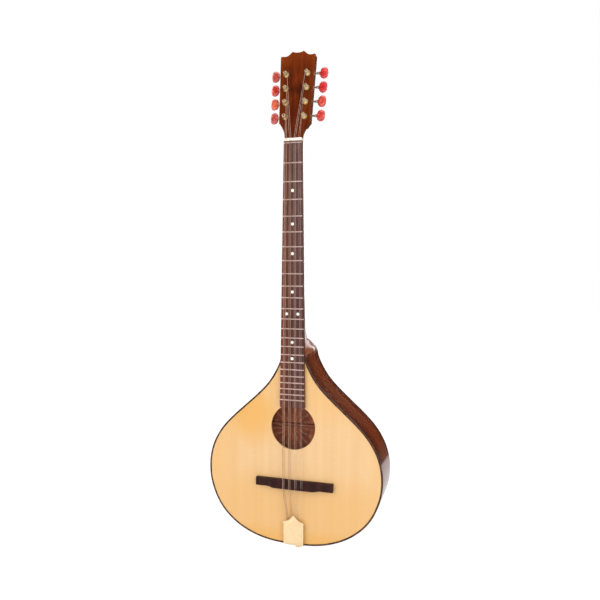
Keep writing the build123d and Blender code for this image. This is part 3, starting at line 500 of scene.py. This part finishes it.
spruce_top()
red_wood("rib_wood", dark=(0.054, 0.0078, 0.0020), medium=(0.138, 0.0225, 0.0046),
         light=(0.270, 0.054, 0.0105), worn=0.0, ior=1.05, coat_roughness=0.05,
         through_depth=True, burst=rib_burst)
back_plate_wood()
binding_wood()
# the inside woods are painted much paler than the wood is, as painted light for the dim inside of
# the body
plain_wood("inner_wood", dark=(0.34, 0.19, 0.09), light=(0.58, 0.38, 0.20),
           fibre_color=(0.204, 0.114, 0.054), worn_color=(0.58, 0.38, 0.20),
           band_scale=(140.0, 140.0, 9.0), fibre_scale=(900.0, 900.0, 60.0),
           roughness=(0.55, 0.70))
# grain across the body, with the same rays as the back plate
plain_wood("inner_dark", dark=(0.26, 0.078, 0.042), light=(0.42, 0.140, 0.078),
           fibre_color=(0.18, 0.050, 0.026), worn_color=(0.62, 0.30, 0.19),
           band_scale=(9.0, 140.0, 140.0), fibre_scale=(60.0, 900.0, 900.0),
           roughness=(0.5, 0.65), ior=1.25, rays=True)
# the neck's glow is a painted highlight, a pale orange spot where the neck meets the body
red_wood("neck_wood", dark=(0.052, 0.010, 0.0034), medium=(0.135, 0.028, 0.0076),
         light=(0.24, 0.062, 0.015), worn=0.15, ior=1.08, coat_roughness=0.17,
         glow=((0.016, -0.01, 0.372), 0.060, (0.44, 0.115, 0.020), 0.8))
red_wood("headplate_wood", dark=(0.034, 0.0048, 0.0011), medium=(0.088, 0.0125, 0.0019),
         light=(0.17, 0.031, 0.0048), worn=0.2, ior=1.08, coat_roughness=0.05,
         burst=head_burst)
fingerboard_wood()
red_wood("bridge_wood", dark=(0.010, 0.0026, 0.0024), medium=(0.022, 0.0066, 0.0055),
         light=(0.048, 0.015, 0.012), worn=0.35, ior=1.22, coat=0.0)
metal("fret_metal", color=(0.86, 0.66, 0.60), roughness=0.24, tarnish=(0.55, 0.40, 0.36),
      brushed=True, worn=(0.92, 0.80, 0.74))
pearl()
bone()
wound_wire()
metal("plain_wire", color=(0.62, 0.53, 0.46), roughness=0.33, tarnish=(0.55, 0.48, 0.44),
      worn=(0.95, 0.9, 0.86))
metal("tuner_gold", color=(1.0, 0.80, 0.45), roughness=0.27, tarnish=(0.90, 0.66, 0.32))
metal("gear_brass", color=(0.80, 0.58, 0.28), roughness=0.26, tarnish=(0.42, 0.28, 0.12),
      dirt=0.55)
metal("shaft_steel", color=(0.62, 0.58, 0.48), roughness=0.22, tarnish=(0.30, 0.27, 0.21))
metal("tailpiece_gold", color=(0.985, 0.755, 0.455), roughness=0.26,
      tarnish=(0.92, 0.63, 0.32), grain=1400.0, dirt=0.45, worn=(1.0, 0.93, 0.78), bump=0.08)
metal("dark_steel", color=(0.32, 0.32, 0.33), roughness=0.34, tarnish=(0.16, 0.14, 0.13))
metal("screw_gold", color=(0.80, 0.60, 0.30), roughness=0.22, tarnish=(0.40, 0.28, 0.13))

# CAD piece: its material
FINISHES = {
    "soundboard": "spruce_top", "back_plate": "back_wood",
    "rib_treble": "rib_wood", "rib_bass": "rib_wood", "bindings": "binding_wood",
    "head_block": "inner_wood", "tail_block": "inner_wood", "linings": "inner_dark",
    "soundboard_braces": "inner_wood", "back_braces": "inner_dark",
    "neck": "neck_wood", "heel_cap": "binding_wood", "headplate": "headplate_wood",
    "fingerboard": "fingerboard_wood", "frets": "fret_metal", "position_dots": "pearl",
    "truss_rod": "dark_steel", "truss_rod_nut": "gear_brass",
    "wound_strings": "bronze_wire", "plain_strings": "plain_wire",
    "nut": "bone", "bridge": "bridge_wood",
    "tailpiece_base": "tuner_gold", "tailpiece_cover": "tailpiece_gold",
    "end_pin": "tailpiece_gold", "wood_screws": "screw_gold",
    "tuner_plates": "tuner_gold", "tuner_bushings": "tuner_gold",
}

# tuner: button tint (they run from pink through red to orange), string radius in mm, and
# turns of string on the post
TUNERS = {
    "bass_1": ((0.45, 0.062, 0.040), 0.43, 3.2),
    "bass_2": ((0.50, 0.032, 0.019), 0.43, 3.2),
    "bass_3": ((0.54, 0.082, 0.034), 0.53, 2.6),
    "bass_4": ((0.425, 0.060, 0.050), 0.53, 2.6),
    "treble_1": ((0.54, 0.026, 0.024), 0.22, 5.0),
    "treble_2": ((0.51, 0.015, 0.018), 0.22, 5.0),
    "treble_3": ((0.55, 0.056, 0.032), 0.14, 7.0),
    "treble_4": ((0.53, 0.046, 0.038), 0.14, 7.0),
}


def paint(piece, material_name):
    slots = nodes[piece].data.materials
    slots.clear()
    slots.append(materials[material_name])


for piece, finish in FINISHES.items():
    paint(piece, finish)
for tuner in TUNERS:
    paint(f"{tuner}_post", "tuner_gold")
    paint(f"{tuner}_gear", "gear_brass")
    paint(f"{tuner}_worm", "shaft_steel")

# ------------------------------------------------------------------ mesh helpers


def mesh_object(name, bm, material):
    """Smooth-shaded object from a bmesh."""
    mesh = bpy.data.meshes.new(name)
    bmesh.ops.recalc_face_normals(bm, faces=bm.faces)
    bm.to_mesh(mesh)
    bm.free()
    for face in mesh.polygons:
        face.use_smooth = True
    obj = bpy.data.objects.new(name, mesh)
    scene.collection.objects.link(obj)
    mesh.materials.append(material)
    return obj


def circle_angles(segments):
    return [2 * math.pi * k / segments for k in range(segments)]


def tube(name, points, radius, material):
    """Round wire through points, with closed ends; each ring is turned on from the last."""
    sides = 8
    bm = bmesh.new()
    tangents = []
    for i in range(len(points)):
        before = points[max(0, i - 1)]
        after = points[min(len(points) - 1, i + 1)]
        tangents.append((after - before).normalized())
    first = tangents[0]
    guide = Vector((0, 0, 1)) if abs(first.z) < 0.9 else Vector((1, 0, 0))
    normal = (guide - first * guide.dot(first)).normalized()
    rings = []
    for i, point in enumerate(points):
        if i:
            turn = tangents[i - 1].rotation_difference(tangents[i])
            normal = (turn @ normal).normalized()
        binormal = tangents[i].cross(normal).normalized()
        rings.append([
            bm.verts.new(point + (normal * math.cos(a) + binormal * math.sin(a)) * radius)
            for a in circle_angles(sides)])
    for low, high in zip(rings, rings[1:]):
        for k in range(sides):
            k2 = (k + 1) % sides
            bm.faces.new((low[k], low[k2], high[k2], high[k]))
    bm.faces.new(list(reversed(rings[0])))
    bm.faces.new(rings[-1])
    return mesh_object(name, bm, material)


def turned(name, origin, axis, side, profile, material):
    """Lathe a profile of (radius, distance along the axis) in mm, starting at `side`."""
    segments = 28
    bm = bmesh.new()
    third = axis.cross(side).normalized()
    rings = []
    for radius, along in profile:
        centre = origin + axis * (along * MM)
        if radius == 0:
            rings.append([bm.verts.new(centre)])
        else:
            rings.append([
                bm.verts.new(centre + (side * math.cos(a) + third * math.sin(a)) * (radius * MM))
                for a in circle_angles(segments)])
    for low, high in zip(rings, rings[1:]):
        for k in range(segments):
            k2 = (k + 1) % segments
            if len(low) == 1:
                bm.faces.new((low[0], high[k], high[k2]))
            elif len(high) == 1:
                bm.faces.new((low[k2], low[k], high[0]))
            else:
                bm.faces.new((low[k], low[k2], high[k2], high[k]))
    return mesh_object(name, bm, material)


def ride(obj, body):
    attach(obj, body)


def joint_line(name):
    joint = joints[name]
    return Vector(joint["pos_m"]), Vector(joint["axis"]).normalized()


# ------------------------------------------------------------------ tuners
# Sizes in mm. Outward runs along the button shaft, normal along the post.

BUTTON_CENTRE = 26.7  # from the key joint, outward
BUTTON_HALF = (8.3, 11.25, 3.45)  # outward, across, normal
BUTTON_SQUARENESS = 2.25  # superellipse exponent of the outline
BUTTON_EGG = 0.05  # how much wider the outer end is
BUTTON_CROWN = 4.2  # higher gives a flatter face
BUTTON_SEGMENTS = 56
BUTTON_RINGS = 15
# (radius, distance outward from the key joint)
BUTTON_NECK = [(0, 18.4), (2.6, 18.4), (3.0, 18.6), (3.05, 19.0), (2.8, 19.5), (2.75, 21.1),
               (0, 21.1)]
POST_RADIUS = 2.45
POST_WAIST_BOTTOM = 5.4
POST_HOLE_HEIGHT = 7.2
COIL_CLEARANCE = 0.02
COIL_SPACING = 1.04  # pitch over string diameter
COIL_LEAD = math.radians(14.0)  # start, past the point where the string arrives
COIL_STEPS_PER_TURN = 22
# clipped end of the string: (across, height)
STRING_END = [(-0.4, POST_HOLE_HEIGHT), (3.2, POST_HOLE_HEIGHT), (4.2, 7.5), (4.6, 8.4)]
STRING_END_MAX_RADIUS = 0.5


def make_button(name, centre, outward, across, normal, material):
    """Oval button: a crowned lens with a soft shoulder."""
    half_out, half_across, half_thick = BUTTON_HALF
    bm = bmesh.new()

    def rounded(value):
        return math.copysign(abs(value) ** (2 / BUTTON_SQUARENESS), value)

    def vertex(reach, angle, face):
        along = rounded(math.cos(angle))
        aside = rounded(math.sin(angle))
        out_mm = along * half_out * reach
        across_mm = aside * half_across * reach * (1.0 + BUTTON_EGG * along)
        thick = half_thick * (1 - reach ** BUTTON_CROWN) ** 0.5
        thick *= 0.90 + 0.10 * (1 - reach * reach)
        return bm.verts.new(centre + outward * (out_mm * MM) + across * (across_mm * MM)
                            + normal * (face * thick * MM))

    def ring(reach, face):
        return [vertex(reach, angle, face) for angle in circle_angles(BUTTON_SEGMENTS)]

    top_centre = vertex(reach=0, angle=0, face=1)
    bottom_centre = vertex(reach=0, angle=0, face=-1)
    top, bottom = [], []
    for k in range(1, BUTTON_RINGS):
        reach = math.sin(0.5 * math.pi * k / BUTTON_RINGS)
        top.append(ring(reach, face=1))
        bottom.append(ring(reach, face=-1))
    rim = ring(reach=1.0, face=1)
    top.append(rim)
    bottom.append(rim)
    for k in range(BUTTON_SEGMENTS):
        k2 = (k + 1) % BUTTON_SEGMENTS
        bm.faces.new((top_centre, top[0][k], top[0][k2]))
        bm.faces.new((bottom_centre, bottom[0][k2], bottom[0][k]))
        for inner, outer in zip(top, top[1:]):
            bm.faces.new((inner[k], outer[k], outer[k2], inner[k2]))
        for inner, outer in zip(bottom, bottom[1:]):
            bm.faces.new((inner[k2], outer[k2], outer[k], inner[k]))
    return mesh_object(name, bm, material)


def coil_points(post, outward, across, normal, side, radius, turns):
    """String wound down the waist of the post, then back up over itself."""
    wound_radius = POST_RADIUS + radius + COIL_CLEARANCE
    pitch = 2 * radius * COIL_SPACING
    lowest = POST_WAIST_BOTTOM + radius
    steps = int(turns * COIL_STEPS_PER_TURN)
    points = []
    for k in range(steps + 1):
        done = k / steps
        height = POST_HOLE_HEIGHT - done * turns * pitch
        reach = wound_radius
        if height < lowest:
            height = lowest + (lowest - height) * 0.35
            reach = wound_radius + 0.9 * radius
        angle = math.pi - side * (COIL_LEAD + 2 * math.pi * turns * done)
        points.append(post + outward * (reach * math.cos(angle) * MM)
                      + across * (reach * math.sin(angle) * MM) + normal * (height * MM))
    return points


def make_tuner(tuner, seed, tint, radius, turns):
    key, outward = joint_line(f"{tuner}_key_turn")
    post, normal = joint_line(f"{tuner}_post_turn")
    across = normal.cross(outward).normalized()
    is_bass = tuner.startswith("bass")

    button_name = f"button_pearloid_{tuner}"
    pearloid(button_name, tint, seed)
    material = materials[button_name]
    centre = key + outward * (BUTTON_CENTRE * MM)
    button = make_button(f"{tuner}_button_pearl", centre, outward, across, normal, material)
    ride(button, f"{tuner}_key")
    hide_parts(f"{tuner}_button")
    neck = turned(f"{tuner}_button_neck", key, outward, across, BUTTON_NECK, material)
    ride(neck, f"{tuner}_key")

    wire = "bronze_wire" if is_bass else "plain_wire"
    points = coil_points(post, outward, across, normal, side=-1.0 if is_bass else 1.0,
                         radius=radius, turns=turns)
    coil = tube(f"{tuner}_string_coil", points, radius * MM, materials[wire])
    ride(coil, f"{tuner}_roller")
    points = [post + normal * (height * MM) + across * (aside * MM)
              for aside, height in STRING_END]
    end = tube(f"{tuner}_string_end", points, min(radius, STRING_END_MAX_RADIUS) * MM,
               materials[wire])
    ride(end, f"{tuner}_roller")


for seed, (tuner, (tint, radius, turns)) in enumerate(TUNERS.items(), start=1):
    make_tuner(tuner, seed, tint, radius, turns)

# ------------------------------------------------------------------ floor

# low enough for the tailpiece cover to slide off above it
COVER_Z = 0.0095
COVER_SLIDE = 0.065
FLOOR_GAP = 0.002
FLOOR_Z = min(cad_lo.z, COVER_Z - COVER_SLIDE) - FLOOR_GAP
FLOOR_HALF = 7.0


def floor_material():
    mat = new_material("floor_pale")
    x, y, _ = mat.xyz
    camera_ray, glossy_ray = mat.node("LightPath", output=("Is Camera Ray", "Is Glossy Ray"))
    # in reflections and bounced light, the pale floor ends behind and to the right
    far = y.span(over=(0.945, 1.075)).max(x.span(over=(1.3, 1.9)))
    matt = mat.node("BsdfDiffuse",
                    {"Color": mat.mix((0.86, 0.86, 0.86), (0.10, 0.10, 0.10), by=far)})
    # far behind, a pale card lies on the floor, for the highlight on the heel and the neck
    slant = x / y.max(0.1)
    card = ((y.ease(over=(3.3, 4.3)) * y.ease(over=(6.9, 5.3)))
            * (slant.ease(over=(0.296, 0.268)) * slant.ease(over=(0.06, 0.16))))
    glow = mat.node("Emission", {"Color": WHITE, "Strength": 3.3})
    ground = mat.node("MixShader", {0: card * glossy_ray, 1: matt, 2: glow})
    # the camera sees a white sweep, with only a faint shadow close to the object
    radius = (x ** 2.0 + y ** 2.0).root()
    brightness = radius.span(over=(0.25, 1.2), to=(0.90, 1.05))
    white = mat.node("Emission", {"Color": WHITE, "Strength": brightness})
    shadow = mat.node("BsdfDiffuse", {"Color": (0.16, 0.16, 0.16)})
    sweep = mat.node("AddShader", {0: white, 1: shadow})
    mat.node("OutputMaterial", {0: mat.node("MixShader", {0: camera_ray, 1: ground, 2: sweep})})


def make_floor():
    bm = bmesh.new()
    bmesh.ops.create_grid(bm, x_segments=24, y_segments=24, size=FLOOR_HALF)
    mesh = bpy.data.meshes.new("floor")
    bm.to_mesh(mesh)
    bm.free()
    floor = bpy.data.objects.new("floor", mesh)
    floor.location = (0, 0, FLOOR_Z)
    scene.collection.objects.link(floor)
    floor_material()
    mesh.materials.append(materials["floor_pale"])


make_floor()

# ------------------------------------------------------------------ world


def make_world():
    """Even light for matt surfaces; polished ones see a dim room with a few pale screens."""
    world = bpy.data.worlds.new("studio")
    scene.world = world
    sky = Graph(world)
    direction = sky.node("TexCoord", output="Generated")
    x, y, z = sky.split(direction)
    camera_ray, glossy_ray = sky.node("LightPath", output=("Is Camera Ray", "Is Glossy Ray"))
    even = y.ease(over=(0.3, -0.4), to=(0.30, 0.62))
    overhead = z.ease(over=(0.76, 0.92), to=(0.0, 1.5))
    left = x.ease(over=(-0.55, -0.78), to=(0.0, 2.1)) * z.span(over=(-0.05, 0.15))
    right = x.ease(over=(0.70, 0.88), to=(0.0, 1.5)) * z.span(over=(-0.05, 0.15))
    # a pale screen behind, its soft right edge just past the middle
    behind = ((x.ease(over=(0.145, 0.085), to=(0.0, 3.2)) * z.span(over=(0.42, 0.36)))
              * (y.span(over=(0.70, 0.80)) * z.span(over=(-0.065, -0.045))))
    # grey walls, except where the headstock and the upper ribs look
    head_look = (-0.271, -0.834, 0.481)
    match = sky.vector_math("DOT_PRODUCT", {0: direction, 1: head_look}, output="Value")
    head_gap = match.span(over=(0.955, 0.86))
    rib_gap = (x.span(over=(-0.10, 0.08)) * x.span(over=(0.85, 0.60))
               * y.span(over=(0.45, 0.62)))
    walls = head_gap * (1.0 - rib_gap) * 0.55
    low_front = y.ease(over=(-0.70, -0.90), to=(0.0, 0.55)) * z.ease(over=(0.42, 0.22))
    ambient = 0.022
    room = (ambient + overhead) + ((left + right) + ((low_front + behind) + walls))
    strength = room * glossy_ray + even * (1.0 - glossy_ray)
    lit = sky.node("Background", {"Color": WHITE, "Strength": strength})
    seen = sky.node("Background", {"Color": WHITE, "Strength": 1.0})
    sky.node("OutputWorld", {0: sky.node("MixShader", {0: camera_ray, 1: lit, 2: seen})})


make_world()

# ------------------------------------------------------------------ lights

# name, place, height of the point aimed at on the z axis, side of the square, watts, colour
LIGHTS = [
    ("key_left", (-1.7, -2.1, 1.7), 0.35, 1.6, 42.0, (1.0, 0.985, 0.965)),
    ("front_soft", (0.25, -2.5, 0.95), 0.35, 1.1, 20.0, (1.0, 0.99, 0.98)),
    ("fill_right", (1.9, -1.5, 0.9), 0.35, 1.3, 26.0, (0.98, 0.99, 1.0)),
    ("top_soft", (0.25, -0.1, 2.4), 0.4, 1.4, 12.0, WHITE),
    ("back_rim", (-0.8, 1.8, 1.3), 0.4, 1.2, 12.0, WHITE),
]

for name, place, aim_z, size, power, color in LIGHTS:
    data = bpy.data.lights.new(name, "AREA")
    data.shape = "SQUARE"
    data.size = size
    data.energy = power
    data.color = color
    light = bpy.data.objects.new(name, data)
    light.location = place
    light.rotation_mode = "QUATERNION"
    aim = Vector((0, 0, aim_z)) - Vector(place)
    light.rotation_quaternion = aim.to_track_quat("-Z", "Y")
    light.visible_glossy = False
    scene.collection.objects.link(light)

# ------------------------------------------------------------------ camera

CAMERA_PLACE = (0.33203, -1.11069, 0.53870)
# radians, turning the world into the view: about z, then x, then y
YAW, PITCH, ROLL = -0.289132, 0.0554470, 0.0032033


def make_camera():
    data = bpy.data.cameras.new("camera")
    camera = bpy.data.objects.new("camera", data)
    scene.collection.objects.link(camera)
    data.sensor_width = 36.0
    data.sensor_fit = "AUTO"
    data.lens = 36.045
    data.clip_start = 0.01
    data.clip_end = 60.0
    cos, sin = math.cos, math.sin
    yaw = Matrix(((cos(YAW), -sin(YAW), 0), (sin(YAW), cos(YAW), 0), (0, 0, 1)))
    pitch = Matrix(((1, 0, 0), (0, cos(PITCH), -sin(PITCH)), (0, sin(PITCH), cos(PITCH))))
    roll = Matrix(((cos(ROLL), 0, sin(ROLL)), (0, 1, 0), (-sin(ROLL), 0, cos(ROLL))))
    # the rows of the product are the view's axes in the world
    right, forward, up = (Vector(row) for row in roll @ pitch @ yaw)
    rotation = Matrix((right, up, -forward)).transposed()
    camera.matrix_world = Matrix.Translation(Vector(CAMERA_PLACE)) @ rotation.to_4x4()
    scene.camera = camera


make_camera()

scene.view_settings.view_transform = "Standard"
scene.view_settings.look = "None"
scene.view_settings.exposure = 0.0
scene.view_settings.gamma = 1.0
